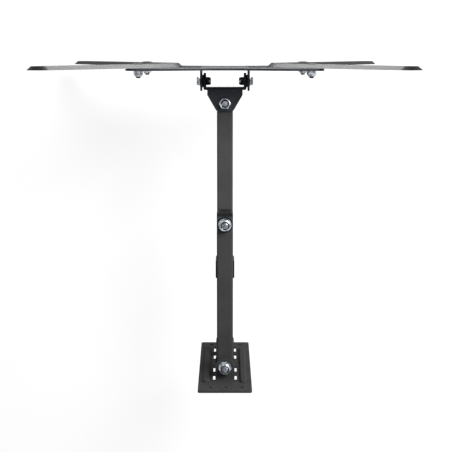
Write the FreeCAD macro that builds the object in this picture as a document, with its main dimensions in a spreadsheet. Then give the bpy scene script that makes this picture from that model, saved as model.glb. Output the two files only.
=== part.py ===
import FreeCAD, Part
import math
import os
import re
import Sketcher

# Swivel wall mount for a flat screen: a wall plate, a two-part folding arm, a tilting plate
# and four adapter arms. Millimetres; X to the right, Y out from the wall, Z up.
# The origin is the middle of the wall plate's back face.

os.makedirs("parts", exist_ok=True)
doc = FreeCAD.newDocument("swivel_mount")
Vector = FreeCAD.Vector

# Driving dimensions
SIZES = {
    "wall_width": 66,
    "wall_height": 230,
    "wall_thick": 3,
    "wall_corner": 3.5,
    "screw_hole": 8,
    "screw_x": 19,
    "screw_z": 101,
    "rib_x": 23,
    "rib_half": 78,
    "rib_radius": 4.2,
    "rib_rise": 3,
    "rib_round": 2,
    "tab_width": 24,
    "tab_window": 30,
    "tab_window_high": 25,
    "bend_out": 2.8,
    "bend_in": 0.8,
    "pivot_y": 18,
    "rear_length": 180,
    "front_length": 146,
    "tube_wide": 20,
    "tube_high": 30,
    "tube_wall": 1.5,
    "tube_round": 2.4,
    "link_gap": 67,
    "end_reach": 12,
    "elbow_reach": 15,
    "cap_depth": 4.6,
    "cap_flange": 2.5,
    "elbow_flange": 5,
    "disc_inset": 0.2,
    "disc_thick": 1,
    "cap_round": 1.8,
    "cap_gap": 0.1,
    "thrust_thick": 1.2,
    "thrust_dia": 18,
    "face_gap": 0.3,
    "pin_gap": 0.05,
    "thread_gap": 0.05,
    "washer_gap": 0.2,
    "hole_gap": 0.2,
    "bolt_dia": 8,
    "sleeve_dia": 13,
    "hex_flats": 13,
    "hex_high": 5.3,
    "nut_high": 8,
    "bolt_spare": 2,
    "washer_dia": 16,
    "washer_thick": 1.6,
    "clip_y": 121.5,
    "clip_long": 24,
    "clip_wall": 2.4,
    "clip_up": 22,
    "clip_channel": 12,
    "clip_mouth": 7,
    "clip_gap": 0.05,
    "clip_round": 2,
    "head_sheet": 3,
    "head_wide": 44,
    "head_tail": 21,
    "head_straight": 9,
    "head_rear": 9.5,
    "head_web": 19.3,
    "ear_x": 26.7,
    "ear_root": 15,
    "ear_reach": 10.3,
    "tilt_y": 27,
    "small_dia": 6,
    "small_flats": 10,
    "small_hex": 3,
    "small_nut": 6,
    "tilt_thrust": 1.5,
    "tilt_thrust_dia": 16,
    "small_washer": 1.2,
    "small_washer_dia": 12,
    "plate_ahead": 15,
    "plate_thick": 2.5,
    "plate_half": 90,
    "plate_flat": 16,
    "plate_side": 116,
    "plate_top": 116,
    "plate_ear_in": 76,
    "plate_ear_low": 45,
    "plate_corner": 12,
    "notch_x": 91,
    "notch_half": 16,
    "notch_round": 3,
    "window_out": 62.5,
    "window_half": 31,
    "window_round": 5,
    "plate_ear_root": 18,
    "plate_ear_end": 12.5,
    "vesa_wide": 100,
    "vesa_low": 50,
    "vesa_high": 100,
    "vesa_hole": 7,
    "bolt_x": 103,
    "bolt_z": 79,
    "vesa_big": 200,
    "arm_back": 45,
    "arm_root": 15,
    "arm_tip": 10,
    "arm_flare": 5,
    "arm_depth": 4.4,
    "arm_sheet": 2,
    "arm_slope": 2.7,
    "arm_slot": 32,
    "arm_slot_wide": 6.6,
    "arm_hole": 7,
    "arm_step_a": 53,
    "arm_step_b": 77,
    "arm_step_c": 108,
    "arm_spacer_dia": 14,
    "cap_head_dia": 14,
    "cap_head_high": 1,
}
sheet = doc.addObject("Spreadsheet::Sheet", "dims")
for row, (alias, number) in enumerate(SIZES.items(), 1):
    sheet.set(f"A{row}", alias)
    sheet.set(f"B{row}", str(number))
    sheet.setAlias(f"B{row}", alias)
doc.recompute()

# Places that several pieces share, as expressions on the sheet
ELBOW_Y = "pivot_y + rear_length"
HEAD_Y = f"{ELBOW_Y} + front_length"
TILT_Y = f"{HEAD_Y} + tilt_y"
TUBE_IN = "link_gap / 2"
TUBE_OUT = "link_gap / 2 + tube_high"
TAB_OUTER = f"{TUBE_OUT} + thrust_thick + face_gap"
TAB_INNER = f"{TUBE_IN} - thrust_thick - face_gap - wall_thick"
TABS = (TAB_OUTER, TAB_INNER, f"-({TAB_INNER} + wall_thick)", f"-({TAB_OUTER} + wall_thick)")
HEAD_TAB = "tube_high / 2 + thrust_thick + face_gap"
EAR_IN = "ear_x - head_sheet"
PLATE_EAR_IN = "ear_x + tilt_thrust + face_gap"
PLATE_EAR_OUT = f"{PLATE_EAR_IN} + plate_thick"
PLATE_FRONT = "plate_ahead + plate_thick"
SPACER_HIGH = "arm_depth - arm_sheet"
ARM_REACH = "sqrt((vesa_big - bolt_x)^2 + (vesa_big - bolt_z)^2)"
BORE = "bolt_dia + 2 * pin_gap"
TILT_BORE = "small_dia + 2 * pin_gap"
WASHER_HOLE = "bolt_dia + 2 * washer_gap"
SMALL_WASHER_HOLE = "small_dia + 2 * washer_gap"


def bound(text):
    """The expression with every alias written as a cell of the sheet."""
    return re.sub(r"[a-z_]+", lambda m: f"dims.{m[0]}" if m[0] in SIZES else m[0], str(text))


def size(text):
    """The expression's value now."""
    return float(sheet.evalExpression(bound(text)))


def make_body(label, at=("0", "0", "0"), rotation=None):
    """A body with its own label and a placement that follows the sheet."""
    body = doc.addObject("PartDesign::Body", label)
    body.Label = label
    body.Placement = FreeCAD.Placement(Vector(), rotation or FreeCAD.Rotation())
    for axis, text in zip("xyz", at):
        body.setExpression(f"Placement.Base.{axis}", bound(text))
    return body


def make_sketch(body, role, offset="0"):
    """A sketch on one of the body's own planes, moved along the plane's normal."""
    plane = next(f for f in body.Origin.OriginFeatures if f.Role == role)
    sketch = body.newObject("Sketcher::SketchObject", f"{body.Label}_sketch")
    sketch.AttachmentSupport = [(plane, "")]
    sketch.MapMode = "FlatFace"
    sketch.setExpression("AttachmentOffset.Base.z", bound(offset))
    return sketch


def hold(sketch, kind, place, text):
    """One dimension of a sketch, bound to the sheet."""
    number = sketch.addConstraint(Sketcher.Constraint(kind, *place, size(text)))
    sketch.setExpression(f"Constraints[{number}]", bound(text))


def pin(sketch, geometry, point, x, y):
    """A point of a sketch at x, y from the sketch's origin."""
    for kind, text, axis in (("DistanceX", x, -2), ("DistanceY", y, -1)):
        if text == "0":
            sketch.addConstraint(Sketcher.Constraint("PointOnObject", geometry, point, axis))
        else:
            hold(sketch, kind, (-1, 1, geometry, point), text)


def polygon(sketch, corners):
    """A closed outline through the corners."""
    points = [Vector(size(x), size(y), 0) for x, y in corners]
    sides = [sketch.addGeometry(Part.LineSegment(a, b)) for a, b in zip(points, points[1:] + points[:1])]
    for a, b in zip(sides, sides[1:] + sides[:1]):
        sketch.addConstraint(Sketcher.Constraint("Coincident", a, 2, b, 1))
    for side, (x, y) in zip(sides, corners):
        pin(sketch, side, 1, x, y)


def rectangle(sketch, left, right, low, high):
    polygon(sketch, [(left, low), (right, low), (right, high), (left, high)])


def circle(sketch, x, y, diameter):
    number = sketch.addGeometry(Part.Circle(Vector(size(x), size(y), 0), Vector(0, 0, 1), size(diameter) / 2))
    pin(sketch, number, 3, x, y)
    hold(sketch, "Diameter", (number,), diameter)


def stadium(sketch, first, radius, last, end_radius=None):
    """Two round ends joined by their tangents, straight or tapered."""
    end_radius = end_radius or radius
    a, b = (Vector(size(x), size(y), 0) for x, y in (first, last))
    ra, rb = size(radius), size(end_radius)
    along = math.atan2(b.y - a.y, b.x - a.x)
    lean = math.acos((ra - rb) / a.distanceToPoint(b))

    def rim(centre, r, angle):
        return centre + Vector(r * math.cos(angle), r * math.sin(angle), 0)

    normal = Vector(0, 0, 1)
    start = sketch.addGeometry(
        Part.ArcOfCircle(Part.Circle(a, normal, ra), along + lean, along - lean + 2 * math.pi)
    )
    end = sketch.addGeometry(Part.ArcOfCircle(Part.Circle(b, normal, rb), along - lean, along + lean))
    left = sketch.addGeometry(Part.LineSegment(rim(a, ra, along + lean), rim(b, rb, along + lean)))
    right = sketch.addGeometry(Part.LineSegment(rim(a, ra, along - lean), rim(b, rb, along - lean)))
    for place in ((start, 1, left, 1), (left, 2, end, 2), (start, 2, right, 1), (right, 2, end, 1)):
        sketch.addConstraint(Sketcher.Constraint("Tangent", *place))
    hold(sketch, "Radius", (start,), radius)
    hold(sketch, "Radius", (end,), end_radius)
    pin(sketch, start, 3, *first)
    pin(sketch, end, 3, *last)


def extrude(sketch, kind, length, reverse=False, both=False):
    """A Pad or Pocket of the sketch."""
    body = sketch.getParentGeoFeatureGroup()
    feature = body.newObject(f"PartDesign::{kind}", f"{body.Label}_{kind.lower()}")
    feature.Profile = sketch
    feature.Reversed = reverse
    feature.Midplane = both
    feature.setExpression("Length", bound(length))
    body.Tip = feature
    doc.recompute()
    return feature


def loft(kind, lower, upper):
    body = lower.getParentGeoFeatureGroup()
    feature = body.newObject(f"PartDesign::{kind}", f"{body.Label}_loft")
    feature.Profile = lower
    feature.Sections = [upper]
    feature.Ruled = True
    body.Tip = feature
    doc.recompute()


def pick(body, axis, places):
    """Names of the body's straight edges along an axis through any of the places."""
    found = []
    for number, edge in enumerate(body.Tip.Shape.Edges, 1):
        if edge.Curve.TypeId != "Part::GeomLine":
            continue
        run = edge.Vertexes[-1].Point - edge.Vertexes[0].Point
        others = [n for n in "xyz" if n != axis]
        if any(abs(getattr(run, n)) > 1e-4 for n in others):
            continue
        middle = edge.CenterOfMass
        if any(all(abs(getattr(middle, n) - size(t)) < 1e-3 for n, t in place.items()) for place in places):
            found.append(f"Edge{number}")
    return found


def fillet(body, radius, names):
    base = body.Tip
    feature = body.newObject("PartDesign::Fillet", f"{body.Label}_fillet")
    feature.Base = (base, names)
    feature.setExpression("Radius", bound(radius))
    body.Tip = feature
    doc.recompute()


def minus(text):
    return text if text == "0" else f"-({text})"


def both_ways(text):
    return text, minus(text)


def make_group(label, members):
    """One node of several equal pieces."""
    group = doc.addObject("Part::Compound", label)
    group.Label = label
    group.Links = members
    return group


def ring(label, outer, inner, high, at, rotation=None):
    """A flat ring or sleeve that stands on its place."""
    body = make_body(label, at, rotation)
    sketch = make_sketch(body, "XY_Plane")
    circle(sketch, "0", "0", outer)
    circle(sketch, "0", "0", inner)
    extrude(sketch, "Pad", high)
    return body


def hexagon(sketch, flats):
    corner = f"({flats}) / 2 / cos(30)"
    slant = f"({flats}) / 4 / cos(30)"
    half = f"({flats}) / 2"
    right = [(corner, "0"), (slant, half), (minus(slant), half)]
    polygon(sketch, right + [(minus(x), minus(y)) for x, y in right])


def trim_corners(body, flats, low, high, bevel_low, bevel_high):
    """Turns the usual cone off a hexagon's corners at its lower or upper face."""
    corner = f"({flats}) * 0.62"
    face = f"({flats}) * 0.49"
    drop = f"({flats}) * 0.075"
    sketch = make_sketch(body, "XZ_Plane")
    if bevel_low:
        polygon(sketch, [(face, low), (corner, low), (corner, f"{low} + {drop}")])
    if bevel_high:
        polygon(sketch, [(face, high), (corner, f"{high} - {drop}"), (corner, high)])
    groove = body.newObject("PartDesign::Groove", f"{body.Label}_bevel")
    groove.Profile = sketch
    groove.ReferenceAxis = (sketch, ["V_Axis"])
    groove.Angle = 360
    body.Tip = groove
    doc.recompute()


def lock_nut(label, flats, high, shank, at, rotation=None):
    """A hexagon nut with a round locking collar on top."""
    body = make_body(label, at, rotation)
    sketch = make_sketch(body, "XY_Plane")
    hexagon(sketch, flats)
    circle(sketch, "0", "0", f"{shank} + 2 * thread_gap")
    extrude(sketch, "Pad", f"{high} * 0.72")
    trim_corners(body, flats, "0", f"{high} * 0.72", True, True)
    sketch = make_sketch(body, "XY_Plane", f"{high} * 0.72")
    circle(sketch, "0", "0", f"({flats}) * 0.9")
    circle(sketch, "0", "0", f"{shank} + 2 * thread_gap")
    extrude(sketch, "Pad", f"{high} * 0.28")
    return body


def hex_bolt(label, flats, head, shank, long, at, rotation=None):
    """A hexagon bolt: the head below its place, the shank above."""
    body = make_body(label, at, rotation)
    sketch = make_sketch(body, "XY_Plane", minus(head))
    hexagon(sketch, flats)
    extrude(sketch, "Pad", head)
    trim_corners(body, flats, minus(head), "0", True, False)
    sketch = make_sketch(body, "XY_Plane")
    circle(sketch, "0", "0", shank)
    extrude(sketch, "Pad", long)
    return body


# Wall plate: one pressed sheet, with four pivot tabs cut and folded out of it
wall = make_body("wall_plate")
outline = make_sketch(wall, "XZ_Plane")
rectangle(outline, "-wall_width / 2", "wall_width / 2", "-wall_height / 2", "wall_height / 2")
for z in both_ways("screw_z"):
    for x in ("0", *both_ways("screw_x")):
        circle(outline, x, z, "screw_hole")
for base in TABS:
    fold = f"{base} + wall_thick"
    rectangle(outline, "-tab_window / 2", "tab_window / 2", f"{fold} - tab_window_high", fold)
extrude(outline, "Pad", "wall_thick", reverse=True)
corners = [{"x": x, "z": z} for x in both_ways("wall_width / 2") for z in both_ways("wall_height / 2")]
fillet(wall, "wall_corner", pick(wall, "y", corners))
for base in TABS:
    tab = make_sketch(wall, "XY_Plane", base)
    rectangle(tab, "-tab_width / 2", "tab_width / 2", "0", "pivot_y")
    extrude(tab, "Pad", "wall_thick")
    tab = make_sketch(wall, "XY_Plane", base)
    circle(tab, "0", "pivot_y", "tab_width")
    extrude(tab, "Pad", "wall_thick")
outer_bends = [{"y": "0", "z": base} for base in TABS]
fillet(wall, "bend_out", pick(wall, "x", outer_bends))
inner_bends = [{"x": "0", "y": "wall_thick", "z": f"{base} + wall_thick"} for base in TABS]
fillet(wall, "bend_in", pick(wall, "x", inner_bends))
hole = make_sketch(wall, "XY_Plane")
circle(hole, "0", "pivot_y", BORE)
extrude(hole, "Pocket", "wall_height", both=True)
ribs = make_sketch(wall, "XZ_Plane", "-wall_thick")
for x in both_ways("rib_x"):
    stadium(ribs, (x, "-rib_half"), "rib_radius", (x, "rib_half"))
extrude(ribs, "Pad", "rib_rise", reverse=True)
crowns = []
for number, edge in enumerate(wall.Tip.Shape.Edges, 1):
    if all(abs(v.Point.y - size("wall_thick + rib_rise")) < 1e-4 for v in edge.Vertexes):
        if abs(abs(edge.CenterOfMass.x) - size("rib_x")) < 2 * size("rib_radius"):
            crowns.append(f"Edge{number}")
fillet(wall, "rib_round", crowns)
grooves = make_sketch(wall, "XZ_Plane")
for x in both_ways("rib_x"):
    stadium(grooves, (x, "-rib_half"), "rib_radius - rib_rise / 2", (x, "rib_half"))
extrude(grooves, "Pocket", "rib_rise")

# Wall pivot: a long bolt through all four tabs
wall_grip = f"{TAB_OUTER} + wall_thick + washer_thick"
wall_bolt = hex_bolt(
    "wall_pivot_bolt", "hex_flats", "hex_high", "bolt_dia",
    f"2 * ({wall_grip}) + nut_high + bolt_spare", ("0", "pivot_y", minus(wall_grip)),
)
wall_nut = lock_nut("wall_pivot_nut", "hex_flats", "nut_high", "bolt_dia", ("0", "pivot_y", wall_grip))
wall_washers = make_group("wall_pivot_washers", [
    ring(f"wall_washer_{n}", "washer_dia", WASHER_HOLE, "washer_thick", ("0", "pivot_y", z))
    for n, z in enumerate((f"{TAB_OUTER} + wall_thick", minus(wall_grip)), 1)
])


def round_end(sketch, middle):
    """The corners outside a tube's round end, whose centre is at middle on the Y axis."""
    half, wide = "tube_wide / 2", "tube_wide"
    low = f"{middle} - tube_wide"
    corners = [(half, middle), (wide, middle), (wide, low), (minus(wide), low), (minus(wide), middle),
               (minus(half), middle)]
    points = [Vector(size(x), size(y), 0) for x, y in corners]
    sides = [sketch.addGeometry(Part.LineSegment(a, b)) for a, b in zip(points, points[1:])]
    for a, b in zip(sides, sides[1:]):
        sketch.addConstraint(Sketcher.Constraint("Coincident", a, 2, b, 1))
    for side, corner in zip(sides, corners):
        pin(sketch, side, 1, *corner)
    pin(sketch, sides[-1], 2, *corners[-1])
    around = Part.Circle(Vector(0, size(middle), 0), Vector(0, 0, 1), size(half))
    arc = sketch.addGeometry(Part.ArcOfCircle(around, math.pi, 2 * math.pi))
    sketch.addConstraint(Sketcher.Constraint("Coincident", arc, 1, sides[-1], 2))
    sketch.addConstraint(Sketcher.Constraint("Coincident", arc, 2, sides[0], 1))
    sketch.addConstraint(Sketcher.Constraint("Horizontal", arc, 3, sides[0], 1))


def tube(label, first, last, low, ends):
    """A rectangular tube between two pivots; ends are how far it reaches past the first and the last."""
    body = make_body(label, ("0", "0", low))
    start = f"{first} - ({ends[0]})"
    section = make_sketch(body, "XZ_Plane", f"-({start})")
    rectangle(section, "-tube_wide / 2", "tube_wide / 2", "0", "tube_high")
    length = f"{last} + {ends[1]} - ({start})"
    extrude(section, "Pad", length, reverse=True)
    edges = [{"x": x, "z": z} for x in both_ways("tube_wide / 2") for z in ("0", "tube_high")]
    fillet(body, "tube_round", pick(body, "y", edges))
    section = make_sketch(body, "XZ_Plane", f"-({start})")
    inside = "tube_wide / 2 - tube_wall"
    rectangle(section, minus(inside), inside, "tube_wall", "tube_high - tube_wall")
    extrude(section, "Pocket", length)
    bores = make_sketch(body, "XY_Plane")
    for y in (first, last):
        circle(bores, "0", y, "sleeve_dia")
    extrude(bores, "Pocket", "tube_high", reverse=True)
    return body


def round_plug(label, pivot, low):
    """A plug that fills a tube's round near end."""
    high = "tube_high - 2 * tube_wall"
    seat = f"{low} + tube_wall"
    disc = doc.addObject("Part::Cylinder", f"{label}_disc")
    disc.setExpression("Radius", bound("tube_wide / 2"))
    disc.setExpression("Height", bound(high))
    disc.setExpression("Placement.Base.y", bound(f"{pivot} - (end_reach - tube_wide / 2)"))
    disc.setExpression("Placement.Base.z", bound(seat))
    block = doc.addObject("Part::Box", f"{label}_block")
    block.setExpression("Length", bound("tube_wide - 2 * tube_wall"))
    block.setExpression("Width", bound("cap_depth"))
    block.setExpression("Height", bound(high))
    block.setExpression("Placement.Base.x", bound("-(tube_wide / 2 - tube_wall)"))
    block.setExpression("Placement.Base.y", bound(f"{pivot} - end_reach"))
    block.setExpression("Placement.Base.z", bound(seat))
    plug = doc.addObject("Part::Common", label)
    plug.Base = disc
    plug.Tool = block
    return plug


def square_cap(label, pivot, side, reach, thick, low):
    """A cap on a tube's square end: a rounded flange and a short plug; side is 1 at the far end."""
    turn = FreeCAD.Rotation(Vector(0, 0, 1), 0 if side > 0 else 180)
    body = make_body(label, ("0", f"{pivot} + {side} * ({reach} - {thick})", low), turn)
    flange = make_sketch(body, "XZ_Plane")
    rectangle(flange, "-tube_wide / 2", "tube_wide / 2", "0", "tube_high")
    extrude(flange, "Pad", thick, reverse=True)
    edges = [{"x": x, "z": z} for x in both_ways("tube_wide / 2") for z in ("0", "tube_high")]
    fillet(body, "tube_round", pick(body, "y", edges))
    rim = [f"Edge{n}" for n, e in enumerate(body.Tip.Shape.Edges, 1)
           if all(abs(v.Point.y - size(thick)) < 1e-4 for v in e.Vertexes)]
    fillet(body, "cap_round", rim)
    plug = make_sketch(body, "XZ_Plane")
    half = "tube_wide / 2 - tube_wall - cap_gap"
    rectangle(plug, minus(half), half, "tube_wall + cap_gap", "tube_high - tube_wall - cap_gap")
    extrude(plug, "Pad", f"{reach} - {thick} - sleeve_dia / 2 - face_gap")
    return body


# Rear link: an upper and a lower tube that swing together
rear_ends = ("end_reach", "elbow_reach - elbow_flange")
upper = tube("rear_tube_upper", "pivot_y", ELBOW_Y, TUBE_IN, rear_ends)
lower = tube("rear_tube_lower", "pivot_y", ELBOW_Y, minus(TUBE_OUT), rear_ends)
for body in (upper, lower):
    cut = make_sketch(body, "XY_Plane")
    round_end(cut, "pivot_y - (end_reach - tube_wide / 2)")
    extrude(cut, "Pocket", "tube_high", reverse=True)
rear_tubes = (("upper", TUBE_IN), ("lower", minus(TUBE_OUT)))
rear_caps = make_group("rear_tube_caps", [
    cap for name, low in rear_tubes
    for cap in (round_plug(f"plug_{name}", "pivot_y", low),
                square_cap(f"cap_{name}", ELBOW_Y, 1, "elbow_reach", "elbow_flange", low))
])
rear_sleeves = make_group("rear_tube_sleeves", [
    ring(f"sleeve_{name}_{number}", "sleeve_dia", BORE, "tube_high", ("0", pivot, low))
    for name, low in rear_tubes for number, pivot in enumerate(("pivot_y", ELBOW_Y), 1)
])
rear_faces = [
    z for face in (TUBE_OUT, f"{TUBE_IN} - thrust_thick")
    for z in (face, minus(f"{face} + thrust_thick"))
]
rear_thrust = make_group("rear_thrust_washers", [
    ring(f"rear_thrust_{n}", "thrust_dia", BORE, "thrust_thick", ("0", "pivot_y", z))
    for n, z in enumerate(rear_faces, 1)
])

# Elbow pivot: held by the rear tubes, with the front tube turning on it
elbow_seat = f"{TUBE_OUT} + disc_thick"
elbow_grip = f"{elbow_seat} + washer_thick"
elbow_bolt = hex_bolt(
    "elbow_bolt", "hex_flats", "hex_high", "bolt_dia",
    f"2 * ({elbow_grip}) + nut_high + bolt_spare", ("0", ELBOW_Y, minus(elbow_grip)),
)
elbow_nut = lock_nut("elbow_nut", "hex_flats", "nut_high", "bolt_dia", ("0", ELBOW_Y, elbow_grip))
elbow_washers = make_group("elbow_washers", [
    ring(f"elbow_washer_{n}", "washer_dia", WASHER_HOLE, "washer_thick", ("0", ELBOW_Y, z))
    for n, z in enumerate((elbow_seat, minus(elbow_grip)), 1)
])
elbow_discs = make_group("elbow_discs", [
    ring(f"elbow_disc_{n}", "tube_wide - 2 * disc_inset", WASHER_HOLE, "disc_thick", ("0", ELBOW_Y, z))
    for n, z in enumerate((TUBE_OUT, minus(elbow_seat)), 1)
])

# Cable clip: snaps up over the lower rear tube and carries a channel below it
clip = make_body("cable_clip", ("0", "clip_y + clip_long / 2", minus(TUBE_OUT)))
section = make_sketch(clip, "XZ_Plane")
inner = "tube_wide / 2 + clip_gap"
outer = f"{inner} + clip_wall"
floor = "-clip_gap"
shelf = f"{floor} - clip_wall"
roof = f"{shelf} - clip_channel"
foot = f"{roof} - clip_wall"
mouth = "clip_mouth / 2"
outside_half = [(mouth, foot), (outer, foot), (outer, "clip_up"), (inner, "clip_up"), (inner, floor)]
channel_half = [(inner, shelf), (inner, roof), (mouth, roof)]
polygon(section, outside_half + [(minus(x), z) for x, z in reversed(outside_half)]
        + [(minus(x), z) for x, z in reversed(channel_half)] + channel_half)
extrude(section, "Pad", "clip_long")
corners = [{"x": x, "y": y} for x in both_ways(outer) for y in ("0", "-clip_long")]
fillet(clip, "clip_round", pick(clip, "z", corners))

# Front link: one tube that folds in between the rear tubes
front_ends = ("elbow_reach - elbow_flange", "end_reach - cap_flange")
front = tube("front_tube", ELBOW_Y, HEAD_Y, "-tube_high / 2", front_ends)
front_caps = make_group("front_tube_caps", [
    square_cap("cap_front_elbow", ELBOW_Y, -1, "elbow_reach", "elbow_flange", "-tube_high / 2"),
    square_cap("cap_front_head", HEAD_Y, 1, "end_reach", "cap_flange", "-tube_high / 2"),
])
front_sleeves = make_group("front_tube_sleeves", [
    ring(f"sleeve_front_{number}", "sleeve_dia", BORE, "tube_high", ("0", pivot, "-tube_high / 2"))
    for number, pivot in enumerate((ELBOW_Y, HEAD_Y), 1)
])
spacer_high = f"{TUBE_IN} - tube_high / 2 - face_gap"
elbow_spacers = make_group("elbow_spacers", [
    ring(f"elbow_spacer_{n}", "thrust_dia", BORE, spacer_high, ("0", ELBOW_Y, z))
    for n, z in enumerate(("tube_high / 2", minus(f"{TUBE_IN} - face_gap")), 1)
])
head_thrust = make_group("head_thrust_washers", [
    ring(f"head_thrust_{n}", "thrust_dia", BORE, "thrust_thick", ("0", HEAD_Y, z))
    for n, z in enumerate(("tube_high / 2", "-tube_high / 2 - thrust_thick"), 1)
])

# Swivel head: one folded sheet, with two tabs about the front tube and two ears for the tilt
head = make_body("swivel_head", ("0", HEAD_Y, "0"))
half_high = f"{HEAD_TAB} + head_sheet"
web = make_sketch(head, "XZ_Plane", "-(head_web - head_sheet)")
right = [
    ("head_wide / 2", minus(half_high)), ("head_wide / 2", "-ear_root"), ("ear_x", "-ear_root"),
    ("ear_x", "ear_root"), ("head_wide / 2", "ear_root"), ("head_wide / 2", half_high),
]
polygon(web, right + [(minus(x), z) for x, z in reversed(right)])
extrude(web, "Pad", "head_sheet", reverse=True)
for base in (HEAD_TAB, minus(half_high)):
    tab = make_sketch(head, "XY_Plane", base)
    right = [
        ("head_tail / 2", "-head_rear"), ("head_wide / 2", "head_web - head_straight"),
        ("head_wide / 2", "head_web"),
    ]
    polygon(tab, right + [(minus(x), y) for x, y in reversed(right)])
    extrude(tab, "Pad", "head_sheet")
for base in (EAR_IN, "-ear_x"):
    ear = make_sketch(head, "YZ_Plane", base)
    top = [("head_web - head_sheet", "ear_root"), ("head_web", "ear_root"), ("tilt_y", "ear_reach")]
    polygon(ear, [(y, minus(z)) for y, z in top] + top[::-1])
    extrude(ear, "Pad", "head_sheet")
    ear = make_sketch(head, "YZ_Plane", base)
    circle(ear, "tilt_y", "0", "2 * ear_reach")
    extrude(ear, "Pad", "head_sheet")
tail = [{"x": x, "y": "-head_rear"} for x in both_ways("head_tail / 2")]
fillet(head, "head_sheet", pick(head, "z", tail))
fillet(head, "bend_out", pick(head, "x", [{"y": "head_web", "z": z} for z in both_ways(half_high)]))
inner_bends = [{"y": "head_web - head_sheet", "z": z} for z in both_ways(HEAD_TAB)]
fillet(head, "bend_in", pick(head, "x", inner_bends))
back = [{"x": x, "y": "head_web - head_sheet"} for x in both_ways("ear_x")]
fillet(head, "bend_out - bend_in", pick(head, "z", back))
front_bend = [{"x": x, "y": "head_web"} for x in both_ways(EAR_IN)]
fillet(head, "bend_in", pick(head, "z", front_bend))
hole = make_sketch(head, "XY_Plane")
circle(hole, "0", "0", BORE)
extrude(hole, "Pocket", f"3 * ({half_high})", both=True)
hole = make_sketch(head, "YZ_Plane")
circle(hole, "tilt_y", "0", TILT_BORE)
extrude(hole, "Pocket", "3 * ear_x", both=True)

head_bolt = hex_bolt(
    "head_pivot_bolt", "hex_flats", "hex_high", "bolt_dia",
    f"2 * ({half_high}) + nut_high + face_gap", ("0", HEAD_Y, minus(half_high)),
)
head_nut = lock_nut("head_pivot_nut", "hex_flats", "nut_high", "bolt_dia", ("0", HEAD_Y, half_high))

# Tilt pivots: a short bolt on each side, the head of it outside
to_right = FreeCAD.Rotation(Vector(0, 1, 0), 90)
to_left = FreeCAD.Rotation(Vector(0, 1, 0), -90)
outside = f"{PLATE_EAR_OUT} + face_gap"
bolt_seat = f"{outside} + small_washer"
bolt_long = f"{bolt_seat} - ({EAR_IN}) + small_nut + face_gap"
sides = (("right", "1", to_left, to_right), ("left", "-1", to_right, to_left))
bolt_sides = [(name, side, inward) for name, side, inward, _ in sides]
washer_sides = [(name, side, outward) for name, side, _, outward in sides]
tilt_bolts = make_group("tilt_bolts", [
    hex_bolt(f"tilt_bolt_{n}", "small_flats", "small_hex", "small_dia", bolt_long,
             (f"{s} * ({bolt_seat})", TILT_Y, "0"), turn)
    for n, s, turn in bolt_sides
])
tilt_nuts = make_group("tilt_nuts", [
    lock_nut(f"tilt_nut_{n}", "small_flats", "small_nut", "small_dia",
             (f"{s} * ({EAR_IN})", TILT_Y, "0"), turn)
    for n, s, turn in bolt_sides
])
tilt_washers = make_group("tilt_washers", [
    ring(f"tilt_washer_{n}", "small_washer_dia", SMALL_WASHER_HOLE, "small_washer",
         (f"{s} * ({outside})", TILT_Y, "0"), turn)
    for n, s, turn in washer_sides
])
tilt_thrust = make_group("tilt_friction_washers", [
    ring(f"tilt_friction_{n}", "tilt_thrust_dia", SMALL_WASHER_HOLE, "tilt_thrust",
         (f"{s} * ear_x", TILT_Y, "0"), turn)
    for n, s, turn in washer_sides
])

# Screen plate: one flat sheet with a cut-in waist, two windows and the two ears folded out of them
plate = make_body("screen_plate", ("0", TILT_Y, "0"))
outline = make_sketch(plate, "XZ_Plane", "-plate_ahead")
quarter = [
    ("notch_x", "notch_half"), ("plate_side", "plate_ear_low"), ("plate_side", "plate_top"),
    ("plate_ear_in", "plate_top"), ("plate_flat", "plate_half"),
]
top = quarter + [(minus(x), z) for x, z in reversed(quarter)]
polygon(outline, top + [(x, minus(z)) for x, z in reversed(top)])
for s in ("", "-"):
    edges = (f"{s}({PLATE_EAR_OUT})", f"{s}window_out")
    low, high = edges if s == "" else edges[::-1]
    rectangle(outline, low, high, "-window_half", "window_half")
for x in both_ways("vesa_wide"):
    for z in (*both_ways("vesa_low"), *both_ways("vesa_high")):
        circle(outline, x, z, "vesa_hole")
for x in both_ways("bolt_x"):
    for z in both_ways("bolt_z"):
        circle(outline, x, z, "small_dia + 2 * hole_gap")
extrude(outline, "Pad", "plate_thick", reverse=True)
corners = [{"x": x, "z": z} for x in both_ways("plate_side") for z in both_ways("plate_top")]
fillet(plate, "plate_corner", pick(plate, "y", corners))
places = (("notch_x", "notch_half"), ("plate_side", "plate_ear_low"), ("plate_ear_in", "plate_top"),
          ("plate_flat", "plate_half"))
corners = [{"x": x, "z": z} for a, b in places for x in both_ways(a) for z in both_ways(b)]
fillet(plate, "notch_round", pick(plate, "y", corners))
corners = [{"x": x, "z": z} for x in both_ways("window_out") for z in both_ways("window_half")]
fillet(plate, "window_round", pick(plate, "y", corners))
for base in (PLATE_EAR_IN, minus(PLATE_EAR_OUT)):
    ear = make_sketch(plate, "YZ_Plane", base)
    top = [(PLATE_FRONT, "plate_ear_root"), ("plate_ahead", "plate_ear_root"), ("0", "plate_ear_end")]
    polygon(ear, [(y, minus(z)) for y, z in top] + top[::-1])
    extrude(ear, "Pad", "plate_thick")
    ear = make_sketch(plate, "YZ_Plane", base)
    circle(ear, "0", "0", "2 * plate_ear_end")
    extrude(ear, "Pad", "plate_thick")
fold = [{"x": x, "y": PLATE_FRONT} for x in both_ways(PLATE_EAR_OUT)]
fillet(plate, "plate_thick - face_gap", pick(plate, "z", fold))
fold = [{"x": x, "y": "plate_ahead"} for x in both_ways(PLATE_EAR_IN)]
fillet(plate, "bend_in", pick(plate, "z", fold))
hole = make_sketch(plate, "YZ_Plane")
circle(hole, "0", "0", TILT_BORE)
extrude(hole, "Pocket", f"3 * ({PLATE_EAR_OUT})", both=True)


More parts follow.
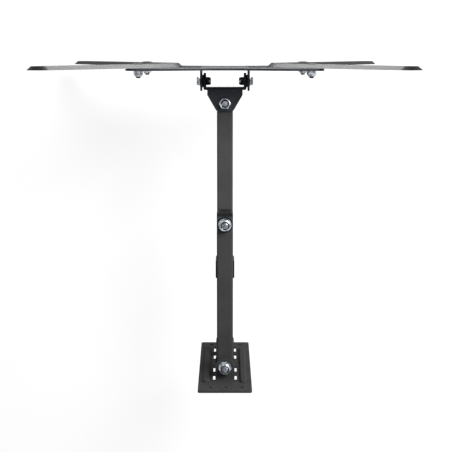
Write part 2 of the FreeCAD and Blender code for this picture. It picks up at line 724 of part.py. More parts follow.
def adapter_arm(label, sx, sz):
    """A tapered arm pressed from sheet: a flat face, a sloping rim, a slot and a row of holes."""
    rise = math.atan2(size("vesa_big - bolt_z"), size("vesa_big - bolt_x"))
    along = Vector(sx * math.cos(rise), 0, sz * math.sin(rise))
    out = Vector(0, 1, 0)
    turn = FreeCAD.Rotation(along, out.cross(along), out, "ZXY")
    place = (f"{sx} * bolt_x", f"{TILT_Y} + {PLATE_FRONT} + face_gap", f"{sz} * bolt_z")
    body = make_body(label, place, turn)
    ends = ("-arm_back", "0"), (ARM_REACH, "0")

    def outline(height, shrink):
        sketch = make_sketch(body, "XY_Plane", height)
        stadium(sketch, ends[0], f"arm_root + {shrink}", ends[1], f"arm_tip + {shrink}")
        return sketch

    loft("AdditiveLoft", outline("0", "arm_flare"), outline("arm_depth", "0"))
    run = "arm_flare / arm_depth"
    hollow = outline("0", "arm_flare - arm_slope")
    ceiling = outline("arm_depth - arm_sheet", f"arm_flare - arm_slope - (arm_depth - arm_sheet) * {run}")
    loft("SubtractiveLoft", hollow, ceiling)
    holes = make_sketch(body, "XY_Plane")
    for x in ("arm_step_a", "arm_step_b", "arm_step_c", ARM_REACH):
        circle(holes, x, "0", "arm_hole")
    stadium(holes, ("-arm_slot", "0"), "arm_slot_wide / 2", ("0", "0"))
    extrude(holes, "Pocket", "2 * arm_depth", reverse=True)
    return body


# Adapter arms, each clamped to the plate by one bolt
QUARTERS = (("upper_right", 1, 1), ("upper_left", -1, 1), ("lower_right", 1, -1), ("lower_left", -1, -1))
arms = [adapter_arm(f"arm_{name}", sx, sz) for name, sx, sz in QUARTERS]
forward = FreeCAD.Rotation(Vector(1, 0, 0), -90)
backward = FreeCAD.Rotation(Vector(1, 0, 0), 90)


def bolt_place(sx, sz, ahead):
    return f"{sx} * bolt_x", f"{TILT_Y} + {ahead}", f"{sz} * bolt_z"


def cap_bolt(label, at):
    """A bolt with a thin round head in front of the arm, its shank running back."""
    body = make_body(label, at, backward)
    sketch = make_sketch(body, "XY_Plane", "-cap_head_high")
    circle(sketch, "0", "0", "cap_head_dia")
    extrude(sketch, "Pad", "cap_head_high")
    rim = [f"Edge{n}" for n, e in enumerate(body.Tip.Shape.Edges, 1)
           if abs(e.CenterOfMass.z + size("cap_head_high")) < 1e-4]
    fillet(body, "cap_head_high * 0.6", rim)
    sketch = make_sketch(body, "XY_Plane")
    circle(sketch, "0", "0", "small_dia")
    extrude(sketch, "Pad", "2 * face_gap + arm_depth + plate_thick + small_washer + small_nut + bolt_spare")
    return body


head_seat = f"{PLATE_FRONT} + 2 * face_gap + arm_depth"
arm_bolts = make_group("arm_bolts", [
    cap_bolt(f"arm_bolt_{name}", bolt_place(sx, sz, head_seat)) for name, sx, sz in QUARTERS
])
arm_spacers = make_group("arm_spacers", [
    ring(f"arm_spacer_{name}", "arm_spacer_dia", SMALL_WASHER_HOLE, SPACER_HIGH,
         bolt_place(sx, sz, PLATE_FRONT), forward)
    for name, sx, sz in QUARTERS
])
arm_washers = make_group("arm_washers", [
    ring(f"arm_washer_{name}", "small_washer_dia", SMALL_WASHER_HOLE, "small_washer",
         bolt_place(sx, sz, "plate_ahead"), backward)
    for name, sx, sz in QUARTERS
])
arm_nuts = make_group("arm_nuts", [
    lock_nut(f"arm_nut_{name}", "small_flats", "small_nut", "small_dia",
             bolt_place(sx, sz, "plate_ahead - small_washer"), backward)
    for name, sx, sz in QUARTERS
])

# Checks and export
NODES = [
    wall, wall_bolt, wall_nut, wall_washers,
    upper, lower, rear_caps, rear_sleeves, rear_thrust, elbow_bolt, elbow_nut, elbow_washers, elbow_discs,
    clip,
    front, front_caps, front_sleeves, elbow_spacers, head_thrust,
    head, head_bolt, head_nut, tilt_bolts, tilt_nuts, tilt_washers, tilt_thrust,
    plate, arm_bolts, arm_spacers, arm_washers, arm_nuts, *arms,
]
doc.recompute()
for item in doc.Objects:
    if "Invalid" in item.State or "Error" in item.State:
        raise RuntimeError(f"{item.Label} did not build")
for node in NODES:
    if node.Shape.isNull() or not node.Shape.isValid():
        raise RuntimeError(f"{node.Label} is not a sound solid")
    node.Shape.exportStep(f"parts/{node.Label}.step")
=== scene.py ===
# %% [markdown]
# # A folding wall mount for a flat screen
# The mount hangs on a wall by a pressed plate. Two links of steel tube fold out from it, and a
# head on the last link carries a tilting plate with four adapter arms. Every solid comes from the
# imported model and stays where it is. This lesson gives each surface its finish, eases the edges
# that a press or a saw leaves, and makes the nuts and bolts anew with threads and locking rings.

# %% Load the frame
import bmesh
import bpy
import math
from collections import namedtuple
from mathutils import Matrix, Vector


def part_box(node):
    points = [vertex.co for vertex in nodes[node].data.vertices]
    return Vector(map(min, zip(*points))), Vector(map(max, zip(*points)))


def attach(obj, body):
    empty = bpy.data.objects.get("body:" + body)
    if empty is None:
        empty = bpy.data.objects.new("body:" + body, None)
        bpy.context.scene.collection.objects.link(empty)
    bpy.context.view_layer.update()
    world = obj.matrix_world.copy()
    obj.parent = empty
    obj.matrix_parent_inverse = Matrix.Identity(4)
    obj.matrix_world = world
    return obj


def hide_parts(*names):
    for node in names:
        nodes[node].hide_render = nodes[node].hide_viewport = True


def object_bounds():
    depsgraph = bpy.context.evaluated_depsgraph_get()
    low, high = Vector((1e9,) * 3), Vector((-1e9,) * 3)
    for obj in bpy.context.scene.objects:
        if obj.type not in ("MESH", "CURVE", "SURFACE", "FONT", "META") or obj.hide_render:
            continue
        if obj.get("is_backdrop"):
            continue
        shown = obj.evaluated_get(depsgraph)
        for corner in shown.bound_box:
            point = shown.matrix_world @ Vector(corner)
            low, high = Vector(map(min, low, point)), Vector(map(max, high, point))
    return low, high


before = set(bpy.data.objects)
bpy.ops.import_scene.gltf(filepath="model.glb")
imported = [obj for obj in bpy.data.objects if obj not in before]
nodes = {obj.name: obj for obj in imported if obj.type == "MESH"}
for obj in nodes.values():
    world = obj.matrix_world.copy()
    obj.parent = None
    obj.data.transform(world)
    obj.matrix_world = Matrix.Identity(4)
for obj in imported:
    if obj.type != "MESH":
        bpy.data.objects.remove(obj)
cad_low, cad_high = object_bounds()
scene = bpy.context.scene
MM = 0.001
print("nodes:", len(nodes), "box in mm:", [round(v / MM, 1) for v in cad_high - cad_low])

# %% [markdown]
# ## Helpers for the finishes
# Colours are easier to compare with a paint card as hex values, so they are written that way and
# turned to linear light once. Each finish is a short chain of shader nodes. One helper adds a node
# with its settings and links, so that a chain reads from its source to the surface.

# %% Colour, node and scale helpers
def linear(code):
    """A hex colour as linear red, green and blue with full alpha."""
    parts = [int(code[i:i + 2], 16) / 255 for i in (1, 3, 5)]
    return [p / 12.92 if p <= 0.04045 else ((p + 0.055) / 1.055) ** 2.4 for p in parts] + [1.0]


def add(tree, kind, settings=None, links=None):
    """A shader node: settings are its attributes or inputs, links join its inputs to other outputs."""
    node = tree.nodes.new(kind)
    for name, value in (settings or {}).items():
        if isinstance(name, str) and hasattr(node, name):
            setattr(node, name, value)
        else:
            node.inputs[name].default_value = value
    for name, socket in (links or {}).items():
        tree.links.new(socket, node.inputs[name])
    return node


def per_mm(size):
    """The texture scale at which one feature is so many millimetres across."""
    return 1 / (size * MM)


def blank(name):
    """A new material with its node tree and its shader."""
    material = bpy.data.materials.new(name)
    material.use_nodes = True
    return material, material.node_tree, material.node_tree.nodes["Principled BSDF"]


print("charcoal in linear light:", [round(v, 4) for v in linear("#373737")])

# %% [markdown]
# ## Powder-coated steel
# The tubes and the wall plate are mild steel, sprayed with dry charcoal powder and baked. The
# powder flows out into a satin skin with a pebbled relief called orange peel, and it draws thin
# over a sharp edge, which then looks a little paler. The head, the screen plate and the arms have
# the same kind of coat in black. An image of paint would blur up close, so the coat is built from
# two noise patterns, one for the pebbles and one for slow drifts in tone, and a Bevel node that
# finds the edges. The pebbles are about 0.6 mm wide on the real coat, and are drawn at 1.3 mm so
# that they show at this distance.

# %% Charcoal and black powder coat
PEBBLE = 1.3
PEBBLE_SHARE = 0.6
DRIFT = 45
EDGE_BAND = 0.7
PEEL_HEIGHT = 0.05
ROUGHNESS_SPREAD = 0.06


def powder_coat(name, dark, light, thin, roughness, gloss):
    """A baked coat: two close tones in drifts and pebbles, and the thin tone along the edges."""
    material, tree, shader = blank(name)
    place = add(tree, "ShaderNodeTexCoord").outputs["Object"]
    drift = add(tree, "ShaderNodeTexNoise", {"Scale": per_mm(DRIFT), "Detail": 3}, {"Vector": place})
    pebble = add(tree, "ShaderNodeTexNoise", {"Scale": per_mm(PEBBLE), "Detail": 2}, {"Vector": place})
    both = add(tree, "ShaderNodeMath", {"operation": "MULTIPLY_ADD", 1: PEBBLE_SHARE},
               {0: pebble.outputs["Fac"], 2: drift.outputs["Fac"]})
    tone = add(tree, "ShaderNodeMapRange", {"From Min": 0.6, "From Max": 1.0}, {"Value": both.outputs[0]})
    skin = add(tree, "ShaderNodeMix", {"data_type": "RGBA", 6: linear(dark), 7: linear(light)},
               {0: tone.outputs[0]})
    eased = add(tree, "ShaderNodeBevel", {"samples": 4, "Radius": EDGE_BAND * MM})
    normal = add(tree, "ShaderNodeNewGeometry").outputs["Normal"]
    turned = add(tree, "ShaderNodeVectorMath", {"operation": "DOT_PRODUCT"}, {0: eased.outputs[0], 1: normal})
    edge = add(tree, "ShaderNodeMapRange", {"From Min": 0.995, "From Max": 0.85},
               {"Value": turned.outputs["Value"]})
    colour = add(tree, "ShaderNodeMix", {"data_type": "RGBA", 7: linear(thin)},
                 {0: edge.outputs[0], 6: skin.outputs[2]})
    rough = add(tree, "ShaderNodeMapRange",
                {"To Min": roughness - ROUGHNESS_SPREAD, "To Max": roughness + ROUGHNESS_SPREAD},
                {"Value": drift.outputs["Fac"]})
    peel = add(tree, "ShaderNodeBump", {"Strength": 0.35, "Distance": PEEL_HEIGHT * MM},
               {"Height": pebble.outputs["Fac"]})
    tree.links.new(colour.outputs[2], shader.inputs["Base Color"])
    tree.links.new(rough.outputs[0], shader.inputs["Roughness"])
    tree.links.new(peel.outputs["Normal"], shader.inputs["Normal"])
    # The fine texture of the coat scatters the mirror-like part of its gloss away.
    shader.inputs["Specular IOR Level"].default_value = gloss
    return material


# Charcoal is a matt coat: a dull dark grey that hardly changes as it turns in the light.
charcoal = powder_coat("charcoal powder coat, baked matt", "#373737", "#414141", "#4e4e4e", 0.75, 0.04)
# The front tube has the same coat as the rear tubes. This copy is painted a shade paler, as painted light for
# the light that falls more on the front tube.
charcoal_painted_lit = powder_coat("charcoal powder coat with painted light, baked matt",
                            "#3e3e3e", "#484848", "#545454", 0.75, 0.04)
# The folded sheets are satin black, with a soft sheen only where they turn away from the eye.
black = powder_coat("black powder coat, baked satin", "#303236", "#393b3f", "#43464a", 0.5, 0.06)
# The arms have a smoother black coat, so their rounded rims mirror the light as pale lines.
gloss_black = powder_coat("black powder coat, baked semi-gloss", "#151617", "#1c1d1f", "#2b2d2f", 0.42, 0.1)
print("coats:", charcoal.name, charcoal_painted_lit.name, black.name, gloss_black.name, sep="; ")

# %% [markdown]
# ## Zinc-plated steel
# Nuts, bolts and washers are cold-formed steel, plated with zinc in a rotating barrel. The plating
# is a pale, slightly blue metal that settles in brighter and duller patches, and knocks from its
# neighbours in the barrel dull its shine. A metal shows its colour in what it mirrors, so one noise
# pattern mixes two greys for the patches, and a finer one changes the roughness for the knocks.
# The patches are about 2 mm wide and the knocks 0.3 mm. They are drawn at 4 mm and 0.9 mm so that
# they show.

# %% Zinc plating
KNOCK = 0.9
KNOCK_DEPTH = 0.04
PATCH = 4


def zinc_plating(name, dark, light):
    """A plated finish with patches of two greys and small knocks in its shine."""
    material, tree, shader = blank(name)
    place = add(tree, "ShaderNodeTexCoord").outputs["Object"]
    patch = add(tree, "ShaderNodeTexNoise", {"Scale": per_mm(PATCH), "Detail": 2}, {"Vector": place})
    knock = add(tree, "ShaderNodeTexNoise", {"Scale": per_mm(KNOCK), "Detail": 3}, {"Vector": place})
    share = add(tree, "ShaderNodeMapRange", {"From Min": 0.38, "From Max": 0.62},
                {"Value": patch.outputs["Fac"]})
    colour = add(tree, "ShaderNodeMix", {"data_type": "RGBA", 6: linear(dark), 7: linear(light)},
                 {0: share.outputs[0]})
    rough = add(tree, "ShaderNodeMapRange",
                {"From Min": 0.3, "From Max": 0.7, "To Min": 0.18, "To Max": 0.38},
                {"Value": knock.outputs["Fac"]})
    dents = add(tree, "ShaderNodeBump", {"Strength": 0.3, "Distance": KNOCK_DEPTH * MM},
                {"Height": knock.outputs["Fac"]})
    tree.links.new(colour.outputs[2], shader.inputs["Base Color"])
    tree.links.new(rough.outputs[0], shader.inputs["Roughness"])
    tree.links.new(dents.outputs["Normal"], shader.inputs["Normal"])
    shader.inputs["Metallic"].default_value = 1.0
    return material


# Nuts and washers are bright, and the bolts have a thicker, greyer plating that takes the wear.
zinc = zinc_plating("zinc plating, barrel finished bright", "#6a6f78", "#d0d4da")
grey_zinc = zinc_plating("zinc plating, barrel finished grey", "#5f636a", "#9a9ea6")
print("metals:", zinc.name, "and", grey_zinc.name)

# %% [markdown]
# ## Moulded nylon
# End caps, spacers, thrust washers, the cable clip and the rings in the lock nuts are black nylon,
# moulded in a steel tool that was eroded by sparks. The tool leaves an even, fine grain that turns
# the gloss of the plastic to a soft sheen. A plain black would look like a hole in the picture, so a
# fine noise drives the roughness and a slight relief, and a slow one shows how the melt flowed. The
# grain is about 0.1 mm wide, drawn here at 0.7 mm so that it shows.

# %% Black nylon
GRAIN = 0.7
GRAIN_DEPTH = 0.03
FLOW = 14
nylon, tree, shader = blank("black nylon, moulded with a spark grain")
place = add(tree, "ShaderNodeTexCoord").outputs["Object"]
grain = add(tree, "ShaderNodeTexNoise", {"Scale": per_mm(GRAIN), "Detail": 2}, {"Vector": place})
flow = add(tree, "ShaderNodeTexNoise", {"Scale": per_mm(FLOW), "Detail": 2}, {"Vector": place})
colour = add(tree, "ShaderNodeMix", {"data_type": "RGBA", 6: linear("#121314"), 7: linear("#1d1e20")},
             {0: flow.outputs["Fac"]})
rough = add(tree, "ShaderNodeMapRange", {"To Min": 0.4, "To Max": 0.58}, {"Value": grain.outputs["Fac"]})
etch = add(tree, "ShaderNodeBump", {"Strength": 0.3, "Distance": GRAIN_DEPTH * MM},
           {"Height": grain.outputs["Fac"]})
tree.links.new(colour.outputs[2], shader.inputs["Base Color"])
tree.links.new(rough.outputs[0], shader.inputs["Roughness"])
tree.links.new(etch.outputs["Normal"], shader.inputs["Normal"])
shader.inputs["IOR"].default_value = 1.53
shader.inputs["Specular IOR Level"].default_value = 0.1
print("plastic:", nylon.name)

# %% [markdown]
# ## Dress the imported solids
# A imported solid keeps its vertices, so its edges are eased by modifiers that work on top of them:
# Weld joins the corners that the file format splits, and Decimate makes one face of the triangles
# that lie in one plane, which would show as streaks. Bevel rounds what is sharper than a set angle,
# and Weighted Normal keeps the flat faces flat in the light. A blanked sheet has edges of about a
# third of a millimetre, a pressed arm and a moulding are rounder, and a washer is crisper.

# %% Finish and edge radius of each node
ARMS = ["arm_upper_right", "arm_upper_left", "arm_lower_right", "arm_lower_left"]
MOULDINGS = ["rear_tube_caps", "front_tube_caps", "elbow_spacers", "cable_clip"]
DISCS = ["rear_thrust_washers", "head_thrust_washers", "tilt_friction_washers", "elbow_discs"]
WASHERS = ["wall_pivot_washers", "elbow_washers", "tilt_washers", "arm_washers", "arm_spacers"]
SLEEVES = ["rear_tube_sleeves", "front_tube_sleeves"]
SHEET_EDGE = 0.35
TUBE_EDGE = 0.2
ROUND_EDGE = 0.5
WASHER_EDGE = 0.2
SPLIT_GAP = 0.004
SAME_PLANE = 0.5
SHARPER_THAN = 28


def dress(names, material, radius):
    """Gives nodes a finish, and rounds their sharp edges by a radius in millimetres."""
    for name in names:
        node = nodes[name]
        node.data.materials.clear()
        node.data.materials.append(material)
        if "custom_normal" in node.data.attributes:
            node.data.attributes.remove(node.data.attributes["custom_normal"])
        node.data.polygons.foreach_set("use_smooth", [True] * len(node.data.polygons))
        weld = node.modifiers.new("join split corners", "WELD")
        weld.merge_threshold = SPLIT_GAP * MM
        merge = node.modifiers.new("one face a plane", "DECIMATE")
        merge.decimate_type = "DISSOLVE"
        merge.angle_limit = math.radians(SAME_PLANE)
        bevel = node.modifiers.new("eased edges", "BEVEL")
        bevel.limit_method = "ANGLE"
        bevel.angle_limit = math.radians(SHARPER_THAN)
        bevel.width = radius * MM
        bevel.segments = 2
        flat = node.modifiers.new("flat faces stay flat", "WEIGHTED_NORMAL")
        flat.keep_sharp = True
    print(material.name, "on", ", ".join(names))


dress(["wall_plate"], charcoal, SHEET_EDGE)
dress(["rear_tube_upper", "rear_tube_lower"], charcoal, TUBE_EDGE)
# The front tube takes the copy of the charcoal coat that is painted paler as painted light.
dress(["front_tube"], charcoal_painted_lit, TUBE_EDGE)
dress(["swivel_head", "screen_plate"], black, SHEET_EDGE)
dress(ARMS, gloss_black, ROUND_EDGE)
dress(MOULDINGS, nylon, ROUND_EDGE)
dress(DISCS, nylon, WASHER_EDGE)
dress(WASHERS + SLEEVES, zinc, WASHER_EDGE)

# %% [markdown]
# ## A lathe for the fasteners
# A bolt or a nut is a turned form, so it is drawn as a list of rings, each a height and a radius.
# A hexagon is a ring whose radius depends on the angle, and where a cone is narrower than the
# hexagon, the cone wins: that gives the curved chamfer that a real nut has on its corners. The
# thread is a ring too, whose radius climbs round the axis by one pitch a turn. A Screw modifier
# could make the thread, but then the tip could not be chamfered in the same pass.

# %% Rings, hexagons and threads
AROUND = 72
Thread = namedtuple("Thread", "wide pitch flats nut head")
M8 = Thread(wide=8, pitch=1.25, flats=13, nut=8, head=5.3)
M6 = Thread(wide=6, pitch=1.0, flats=10, nut=6, head=3)
THREAD_DEPTH = 0.6
FLANK_SLOPE = 1.25
CREST_SLACK = 0.03
SMOOTH_BELOW = 32


def hexagon(flats, cone):
    """The radius by angle of a hexagon with a corner at angle 0, where a cone doesn't cut it off."""
    return lambda angle: min(cone, flats / 2 / math.cos(angle % (math.pi / 3) - math.pi / 6))


def helix(size, height, cone):
    """The radius by angle of a screw thread at a height, where the chamfer doesn't cut it off."""
    depth = THREAD_DEPTH * size.pitch

    def radius(angle):
        turn = (height / size.pitch - angle / (2 * math.pi)) % 1
        groove = min(1, FLANK_SLOPE * abs(2 * turn - 1))
        return min(cone, size.wide / 2 - CREST_SLACK - depth * (1 - groove))

    return radius


def turn(mesh, place, rings, hollow=False):
    """Adds a turned form from rings of (height, radius), closed by its ends or round its own hole."""
    loops = []
    for height, radius in rings:
        loop = []
        for step in range(AROUND):
            angle = 2 * math.pi * step / AROUND
            reach = radius(angle) if callable(radius) else radius
            corner = Vector((reach * math.cos(angle), reach * math.sin(angle), height))
            loop.append(mesh.verts.new(place @ corner))
        loops.append(loop)
    if hollow:
        loops.append(loops[0])
    for low, high in zip(loops, loops[1:]):
        for a, b, c, d in zip(low, low[1:] + low[:1], high[1:] + high[:1], high):
            mesh.faces.new((a, b, c, d))
    if not hollow:
        mesh.faces.new(loops[0][::-1])
        mesh.faces.new(loops[-1])


def stand(foot, axis, corner):
    """Places a turned form in millimetres: its foot, the way it points and the way a corner points."""
    up, side = Vector(axis), Vector(corner)
    turned = Matrix((side, up.cross(side), up)).transposed().to_4x4()
    return Matrix.Translation(Vector(foot)) @ turned @ Matrix.Scale(MM, 4)


def fastener(name, mesh, material, body, slot, *stands_for):
    """Makes the object of a finished mesh, hangs it on the body it rides on, and hides the nodes it stands
    for.
    """
    data = bpy.data.meshes.new(name)
    bmesh.ops.recalc_face_normals(mesh, faces=mesh.faces)
    mesh.to_mesh(data)
    mesh.free()
    data.polygons.foreach_set("use_smooth", [True] * len(data.polygons))
    data.set_sharp_from_angle(angle=math.radians(SMOOTH_BELOW))
    data.materials.append(material)
    piece = bpy.data.objects.new(name, data)
    scene.collection.objects.link(piece)
    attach(piece, body)
    if stands_for:
        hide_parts(*stands_for)
    print(name, "has", len(data.polygons), "faces")


print("threads:", M8, M6)

# %% [markdown]
# ## Lock nuts
# Each pivot has a nut with a nylon ring that grips the thread, so that the joint keeps its drag.
# The steel shell has a chamfered hexagon below and a plain collar above, whose lip is rolled in
# over the ring. Shell and ring are separate pieces here too, because the pale lip round the dark
# ring is what makes the nut look right from above.

# %% Shell and ring of a lock nut
HEX_SHARE = 0.72
COLLAR_SHARE = 0.45
LIP = 0.75
LIP_ROLL = (0, 0.4, 0.8, 1.2, 1.57, 2.0, 2.5)
SLACK = 0.02
CHAMFER_SHARE = 0.475
CHAMFER_STEPS = 5


def chamfered_hexagon(size, low, high):
    """Rings of a hexagon whose corners are turned off at 30 degrees at both ends."""
    inner, outer = CHAMFER_SHARE * size.flats, size.flats / 2 / math.cos(math.pi / 6)
    rise = (outer - inner) * math.tan(math.pi / 6)
    steps = [k / CHAMFER_STEPS for k in range(CHAMFER_STEPS + 1)]
    foot = [(low + rise * k, hexagon(size.flats, inner + (outer - inner) * k)) for k in steps]
    top = [(high - rise * k, hexagon(size.flats, inner + (outer - inner) * k)) for k in reversed(steps)]
    return foot + top


def lock_nut(shell, ring, place, size):
    """Adds the steel shell and the nylon ring of one lock nut."""
    bore = size.wide / 2 + SLACK
    collar = COLLAR_SHARE * size.flats
    shoulder = HEX_SHARE * size.nut
    roll = [(math.sin(a), math.cos(a)) for a in LIP_ROLL]
    lip = [(size.nut - LIP / 2 + LIP / 2 * s, collar - LIP / 2 + LIP / 2 * c) for s, c in roll]
    seat = size.nut - 1.6 * LIP
    rings = [(0, bore + 0.3)] + chamfered_hexagon(size, 0, shoulder) + [(shoulder, collar + 0.15)]
    rings += [(shoulder + 0.2, collar)] + lip + [(seat, collar - LIP), (seat, bore)]
    turn(shell, place, rings, hollow=True)
    brim = collar - LIP - SLACK
    crown = size.nut - 0.55 * LIP
    turn(ring, place, [(seat + SLACK, bore), (seat + SLACK, brim), (crown - 0.15, brim), (crown, brim - 0.25),
                       (crown, bore + 0.3), (crown - 0.25, bore)], hollow=True)


print("hexagon below the collar in mm:", [round(HEX_SHARE * size.nut, 1) for size in (M8, M6)])

# %% Lock nuts on the pivots
ZINC_SLOT = "zinc_plated_steel"
NYLON_SLOT = "black_nylon"
UPRIGHT_PIVOTS = {"wall_pivot": "wall", "elbow": "rear_link", "head_pivot": "head"}


def middle(low, high):
    """The middle of a box seen from above, as x and y."""
    return (low.x + high.x) / 2, (low.y + high.y) / 2


for pivot, body in UPRIGHT_PIVOTS.items():
    low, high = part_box(f"{pivot}_nut")
    shell, ring = bmesh.new(), bmesh.new()
    lock_nut(shell, ring, stand((*middle(low, high), low.z), (0, 0, 1), (1, 0, 0)), M8)
    fastener(f"{pivot}_lock_nut", shell, zinc, body, ZINC_SLOT, f"{pivot}_nut")
    fastener(f"{pivot}_lock_ring", ring, nylon, body, NYLON_SLOT)

# %% Lock nuts of the tilt and of the arms
low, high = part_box("tilt_nuts")
shell, ring = bmesh.new(), bmesh.new()
for side in (-1, 1):
    foot = (side * high.x, (low.y + high.y) / 2, (low.z + high.z) / 2)
    lock_nut(shell, ring, stand(foot, (-side, 0, 0), (0, 0, 1)), M6)
fastener("tilt_lock_nuts", shell, zinc, "head", ZINC_SLOT, "tilt_nuts")
fastener("tilt_lock_rings", ring, nylon, "head", NYLON_SLOT)

low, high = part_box("arm_nuts")
corner = M6.flats / 2 / math.cos(math.pi / 6) * MM
arm_places = [(x * (high.x - corner), z * (high.z - M6.flats / 2 * MM)) for x in (-1, 1) for z in (-1, 1)]
shell, ring = bmesh.new(), bmesh.new()
for x, z in arm_places:
    lock_nut(shell, ring, stand((x, high.y, z), (0, -1, 0), (1, 0, 0)), M6)
fastener("arm_lock_nuts", shell, zinc, "screen", ZINC_SLOT, "arm_nuts")
fastener("arm_lock_rings", ring, nylon, "screen", NYLON_SLOT)

# %% [markdown]
# ## Bolts
# The pivots turn on long hexagon bolts. The shank is plain where a tube bears on it, and the last
# stretch has a rolled thread with a chamfered tip that stands out of the nut. A bump could draw the
# thread, but its outline would stay smooth, so it is cut in the mesh. The arms are held by low domed
# bolts, coated black like the arms, so that nothing stands out towards the screen.

# %% Hexagon bolts
THREAD_LONG = 16
ROWS_A_PITCH = 8
TIP = 0.9


def threaded_end(size, start, end):
    """Rings of a thread from start to end, with a chamfered tip."""
    count = round((end - start) / size.pitch * ROWS_A_PITCH)
    rings = []
    for row in range(count + 1):
        height = start + (end - start) * row / count
        cone = size.wide / 2 - TIP + (end - height)
        rings.append((height, helix(size, height, cone)))
    return rings


def hex_bolt(mesh, place, size, length):
    """Adds a hexagon bolt that stands on its head."""
    rings = chamfered_hexagon(size, 0, size.head)
    start = max(size.head + 0.5, length - THREAD_LONG)
    shank = size.wide / 2 - SLACK
    turn(mesh, place, rings + [(size.head, shank), (start - 0.3, shank)] + threaded_end(size, start, length))


for pivot, body in UPRIGHT_PIVOTS.items():
    low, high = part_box(f"{pivot}_bolt")
    bolt = bmesh.new()
    hex_bolt(bolt, stand((*middle(low, high), low.z), (0, 0, 1), (1, 0, 0)), M8, (high.z - low.z) / MM)
    fastener(f"{pivot}_hex_bolt", bolt, grey_zinc, body, ZINC_SLOT, f"{pivot}_bolt")

low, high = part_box("tilt_bolts")
inner = min(v.co.x for v in nodes["tilt_bolts"].data.vertices if v.co.x > 0)
bolt = bmesh.new()
for side in (-1, 1):
    foot = (side * high.x, (low.y + high.y) / 2, (low.z + high.z) / 2)
    hex_bolt(bolt, stand(foot, (-side, 0, 0), (0, 0, 1)), M6, (high.x - inner) / MM)
fastener("tilt_hex_bolts", bolt, grey_zinc, "head", ZINC_SLOT, "tilt_bolts")

# %% Domed bolts of the arms
DOME_WIDE = 14
DOME_HIGH = 1
RIM_HIGH = 0.35
DOME_STEPS = 8
low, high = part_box("arm_bolts")
length = (high.y - low.y) / MM
shank = M6.wide / 2 - SLACK
crown = []
for step in range(1, DOME_STEPS + 1):
    radius = DOME_WIDE / 2 * step / DOME_STEPS
    crown.append(((DOME_HIGH - RIM_HIGH) * (step / DOME_STEPS) ** 2, radius))
neck = [(DOME_HIGH, DOME_WIDE / 2 - 0.1), (DOME_HIGH, shank), (DOME_HIGH + 2.5, shank)]
bolt = bmesh.new()
for x, z in arm_places:
    rings = crown + neck + threaded_end(M6, DOME_HIGH + 3, length)
    turn(bolt, stand((x, high.y, z), (0, -1, 0), (1, 0, 0)), rings)
fastener("arm_domed_bolts", bolt, black, "screen", "black_coated_steel", "arm_bolts")

# %% [markdown]
# ## Floor, light and camera
# The mount is shown on white paper under soft light. The paper and the sky are white to the camera
# and to mirrors, but light the object at a plain level, so that each colour comes out about as it
# was written. One softbox stands high on the right and shapes the tubes, one at the side draws out
# the ribs of the wall plate, and a low one in front is mirrored in the rounded rims of the arms.
# The camera looks down from above, with a long lens, so that the links keep their widths.

# %% White paper and sky
def seen(tree):
    """An output that is 1 for rays from the camera, a mirror or glass, and 0 for the light on the object."""
    path = add(tree, "ShaderNodeLightPath")
    mirrored = add(tree, "ShaderNodeMath", {"operation": "MAXIMUM"},
                   {0: path.outputs["Is Glossy Ray"], 1: path.outputs["Is Transmission Ray"]})
    either = add(tree, "ShaderNodeMath", {"operation": "MAXIMUM"},
                 {0: path.outputs["Is Camera Ray"], 1: mirrored.outputs[0]})
    return either.outputs[0]


FLOOR_DROP = 45
FLOOR_WIDE = 12
bpy.ops.mesh.primitive_plane_add(size=FLOOR_WIDE, location=(0, 0.2, cad_low.z - FLOOR_DROP * MM))
floor = bpy.context.object
floor.name = "floor"
floor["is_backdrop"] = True
paper, tree, shader = blank("white paper")
tree.nodes.remove(shader)
matt = add(tree, "ShaderNodeBsdfDiffuse", {"Color": linear("#e6e6e6")})
shadow = add(tree, "ShaderNodeBsdfDiffuse", {"Color": linear("#a8a8a8")})
glow = add(tree, "ShaderNodeEmission", {"Color": linear("#ffffff"), "Strength": 0.72})
bright = add(tree, "ShaderNodeAddShader", links={0: shadow.outputs[0], 1: glow.outputs[0]})
mix = add(tree, "ShaderNodeMixShader", links={0: seen(tree), 1: matt.outputs[0], 2: bright.outputs[0]})
tree.links.new(mix.outputs[0], tree.nodes["Material Output"].inputs["Surface"])
floor.data.materials.append(paper)

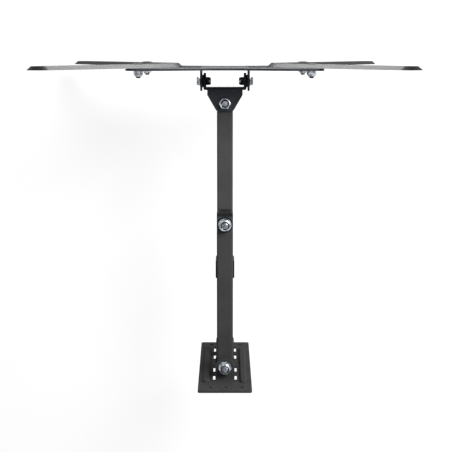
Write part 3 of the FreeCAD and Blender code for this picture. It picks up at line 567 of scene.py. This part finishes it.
sky = bpy.data.worlds.new("studio")
scene.world = sky
sky.use_nodes = True
tree = sky.node_tree
level = add(tree, "ShaderNodeMapRange", {"To Min": 0.38, "To Max": 1.0}, {"Value": seen(tree)})
tree.links.new(level.outputs[0], tree.nodes["Background"].inputs["Strength"])
tree.nodes["Background"].inputs["Color"].default_value = linear("#ffffff")
print("floor at", round(floor.location.z / MM), "mm")

# %% Softboxes
def softbox(name, at, aim, wide, high, watts):
    """A soft rectangular lamp that the camera doesn't see."""
    data = bpy.data.lights.new(name, "AREA")
    data.shape = "RECTANGLE"
    data.size = wide
    data.size_y = high
    data.energy = watts
    lamp = bpy.data.objects.new(name, data)
    lamp.location = at
    lamp.rotation_euler = (Vector(aim) - Vector(at)).to_track_quat("-Z", "Y").to_euler()
    lamp.visible_camera = False
    scene.collection.objects.link(lamp)
    return lamp


softbox("overhead softbox", (0.5, 0.8, 0.9), (0, 0.2, 0), 0.5, 0.4, 11.5)
softbox("side softbox", (1.1, 0.7, 0.5), (0, 0.1, 0), 0.4, 0.4, 8)
rim_light = softbox("low front softbox", (0, 0.7, -0.13), (0, 0.39, 0.15), 0.45, 0.22, 5.5)
# It only shows as the pale line that the rims mirror, so the flat faces beside them aren't overlit.
rim_light.visible_diffuse = False

# %% Camera
scene.view_settings.view_transform = "Standard"
IMAGE = 452
FOCUS = 1150
STAND_AT = (1.35, 415.9, 1457.2)
LEAN = -8.95
lens = bpy.data.cameras.new("camera")
lens.sensor_width = 36
lens.lens = FOCUS * lens.sensor_width / IMAGE
camera = bpy.data.objects.new("camera", lens)
camera.location = [v * MM for v in STAND_AT]
camera.rotation_euler = (math.radians(LEAN), 0, 0)
scene.collection.objects.link(camera)
scene.camera = camera
print("lens in mm:", round(lens.lens, 1))

# %% [markdown]
# ## Sizes
# A finish must not change how big the mount is. The box of the imported solids was measured at the start, and
# the box of the dressed ones is measured here. Both are printed.

low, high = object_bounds()
print("visual box in mm:", [round(v / MM, 1) for v in high - low])
